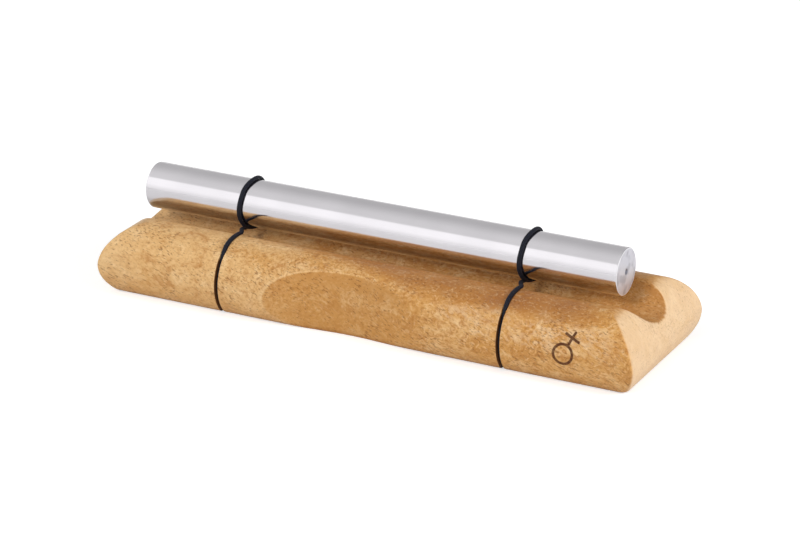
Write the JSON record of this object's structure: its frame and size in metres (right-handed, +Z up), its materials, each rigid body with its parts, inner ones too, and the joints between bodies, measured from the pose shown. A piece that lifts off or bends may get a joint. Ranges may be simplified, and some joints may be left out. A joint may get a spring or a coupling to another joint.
{
  "type": "chime bar",
  "caption": "Table chime: a polished metal rod hung in elastic cord loops over a grooved wooden resonator base with rounded edges and hand scoops.",
  "frame": {"origin": "middle of the underside of the wooden base, on the surface it stands on", "axes": "+X along the rod to the right as seen from the front, +Y to the back, +Z up"},
  "size_m": [0.2486, 0.0716, 0.0507],
  "materials": {
    "wood": "satin clear lacquer",
    "polished_metal": "polished",
    "elastic_cord": "braided elastic"
  },
  "bodies": {
    "base": {"wooden_base": "wood", "left_cord_run": "elastic_cord", "right_cord_run": "elastic_cord"},
    "loops": {"left_cord_loop": "elastic_cord", "right_cord_loop": "elastic_cord"},
    "rod": {"chime_rod": "polished_metal"}
  },
  "joints": [
    {"name": "suspension_bounce", "type": "slide", "parent": "base", "child": "loops", "axis": [0, 0, 1], "range_m": [-0.005, 0.008], "stiffness_N_per_m": 730, "springref_m": 0.0025, "deforming": ["left_cord_loop", "right_cord_loop"]},
    {"name": "rod_slide", "type": "slide", "parent": "loops", "child": "rod", "axis": [1, 0, 0], "range_m": [-0.03, 0.04]}
  ]
}
